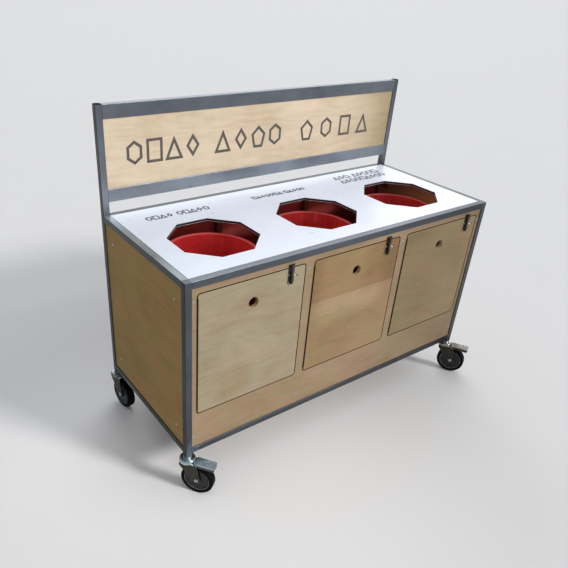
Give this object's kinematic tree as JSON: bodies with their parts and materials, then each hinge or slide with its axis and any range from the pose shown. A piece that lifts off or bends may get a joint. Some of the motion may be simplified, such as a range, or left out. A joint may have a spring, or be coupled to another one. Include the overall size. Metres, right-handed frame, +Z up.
{
  "type": "recycling bin station",
  "caption": "Wheeled waste-sorting cabinet with octagonal chutes over lift-out bins, side-hung plywood doors with bolts, and a raised sign board.",
  "frame": {"origin": "on the floor, under the middle of the cabinet's footprint", "axes": "+X to the right along the cabinet, +Y to the back, +Z up; the doors face -Y"},
  "size_m": [1.5299, 0.7226, 1.2525],
  "materials": {
    "frame_steel": "satin blue-grey powder coat",
    "birch_plywood": "clear satin lacquer",
    "inner_plywood": "unfinished",
    "black_plastic": "moulded",
    "white_laminate": "satin white decor on a black core",
    "zinc_plate": "bright zinc plate",
    "black_steel": "black japanned",
    "red_plastic": "smooth moulded",
    "grey_plastic": "moulded",
    "tyre_rubber": "matt"
  },
  "bodies": {
    "cabinet": {"front_left_post": "frame_steel", "front_right_post": "frame_steel", "rear_left_post": "frame_steel", "rear_right_post": "frame_steel", "top_front_rail": "frame_steel", "top_rear_rail": "frame_steel", "bottom_front_rail": "frame_steel", "bottom_rear_rail": "frame_steel", "end_rails": "frame_steel", "inner_frame": "frame_steel", "panel_cleats": "frame_steel", "sign_rails": "frame_steel", "sign_panel": "birch_plywood", "post_end_caps": "black_plastic", "white_top": "white_laminate", "front_fascia": "birch_plywood", "left_side_panel": "birch_plywood", "right_side_panel": "birch_plywood", "rear_panel": "birch_plywood", "bin_shelf": "inner_plywood", "door_stops": "inner_plywood", "panel_screws": "zinc_plate", "left_bin": "red_plastic", "middle_bin": "red_plastic", "right_bin": "red_plastic", "hinge_fixed_leaves": "black_steel", "hinge_pins": "black_steel", "latch_keepers": "black_steel", "castor_stems": "zinc_plate"},
    "left_door": {"left_door": "birch_plywood", "left_hinge_leaf": "black_steel", "left_latch_body": "black_steel"},
    "left_bolt": {"left_latch_bolt": "black_steel"},
    "middle_door": {"middle_door": "birch_plywood", "middle_hinge_leaf": "black_steel", "middle_latch_body": "black_steel"},
    "middle_bolt": {"middle_latch_bolt": "black_steel"},
    "right_door": {"right_door": "birch_plywood", "right_hinge_leaf": "black_steel", "right_latch_body": "black_steel"},
    "right_bolt": {"right_latch_bolt": "black_steel"},
    "front_left_fork": {"front_left_fork": "zinc_plate", "front_left_axle": "zinc_plate"},
    "front_left_wheel": {"front_left_hub": "grey_plastic", "front_left_tyre": "tyre_rubber"},
    "front_left_pedal": {"front_left_pedal": "zinc_plate"},
    "front_right_fork": {"front_right_fork": "zinc_plate", "front_right_axle": "zinc_plate"},
    "front_right_wheel": {"front_right_hub": "grey_plastic", "front_right_tyre": "tyre_rubber"},
    "front_right_pedal": {"front_right_pedal": "zinc_plate"},
    "rear_left_fork": {"rear_left_fork": "zinc_plate", "rear_left_axle": "zinc_plate"},
    "rear_left_wheel": {"rear_left_hub": "grey_plastic", "rear_left_tyre": "tyre_rubber"},
    "rear_right_fork": {"rear_right_fork": "zinc_plate", "rear_right_axle": "zinc_plate"},
    "rear_right_wheel": {"rear_right_hub": "grey_plastic", "rear_right_tyre": "tyre_rubber"}
  },
  "joints": [
    {"name": "left_door_hinge", "type": "hinge", "parent": "cabinet", "child": "left_door", "pos_m": [-0.68335, -0.3048, 0.5745], "axis": [0, 0, -1], "range_deg": [0, 165]},
    {"name": "left_bolt_slide", "type": "slide", "parent": "left_door", "child": "left_bolt", "axis": [0, 0, 1], "range_m": [0, 0.012]},
    {"name": "middle_door_hinge", "type": "hinge", "parent": "cabinet", "child": "middle_door", "pos_m": [-0.21402, -0.3048, 0.5745], "axis": [0, 0, -1], "range_deg": [0, 165]},
    {"name": "middle_bolt_slide", "type": "slide", "parent": "middle_door", "child": "middle_bolt", "axis": [0, 0, 1], "range_m": [0, 0.012]},
    {"name": "right_door_hinge", "type": "hinge", "parent": "cabinet", "child": "right_door", "pos_m": [0.25532, -0.3048, 0.5745], "axis": [0, 0, -1], "range_deg": [0, 165]},
    {"name": "right_bolt_slide", "type": "slide", "parent": "right_door", "child": "right_bolt", "axis": [0, 0, 1], "range_m": [0, 0.012]},
    {"name": "front_left_swivel", "type": "hinge", "parent": "cabinet", "child": "front_left_fork", "pos_m": [-0.7165, -0.295, 0.157], "axis": [0, 0, 1], "continuous": true},
    {"name": "front_left_roll", "type": "hinge", "parent": "front_left_fork", "child": "front_left_wheel", "pos_m": [-0.69181, -0.32898, 0.0625], "axis": [0.809, 0.5878, 0], "continuous": true},
    {"name": "front_left_brake", "type": "hinge", "parent": "front_left_fork", "child": "front_left_pedal", "pos_m": [-0.6971, -0.3217, 0.13], "axis": [0.809, 0.5878, 0], "range_deg": [0, 8]},
    {"name": "front_right_swivel", "type": "hinge", "parent": "cabinet", "child": "front_right_fork", "pos_m": [0.7165, -0.295, 0.157], "axis": [0, 0, 1], "continuous": true},
    {"name": "front_right_roll", "type": "hinge", "parent": "front_right_fork", "child": "front_right_wheel", "pos_m": [0.73622, -0.33208, 0.0625], "axis": [0.8829, 0.4695, 0], "continuous": true},
    {"name": "front_right_brake", "type": "hinge", "parent": "front_right_fork", "child": "front_right_pedal", "pos_m": [0.73199, -0.32414, 0.13], "axis": [0.8829, 0.4695, 0], "range_deg": [0, 8]},
    {"name": "rear_left_swivel", "type": "hinge", "parent": "cabinet", "child": "rear_left_fork", "pos_m": [-0.7165, 0.295, 0.157], "axis": [0, 0, 1], "continuous": true},
    {"name": "rear_left_roll", "type": "hinge", "parent": "rear_left_fork", "child": "rear_left_wheel", "pos_m": [-0.71211, 0.25323, 0.0625], "axis": [0.9945, 0.1045, 0], "continuous": true},
    {"name": "rear_right_swivel", "type": "hinge", "parent": "cabinet", "child": "rear_right_fork", "pos_m": [0.7165, 0.295, 0.157], "axis": [0, 0, 1], "continuous": true},
    {"name": "rear_right_roll", "type": "hinge", "parent": "rear_right_fork", "child": "rear_right_wheel", "pos_m": [0.72948, 0.25506, 0.0625], "axis": [0.9511, 0.309, 0], "continuous": true}
  ]
}
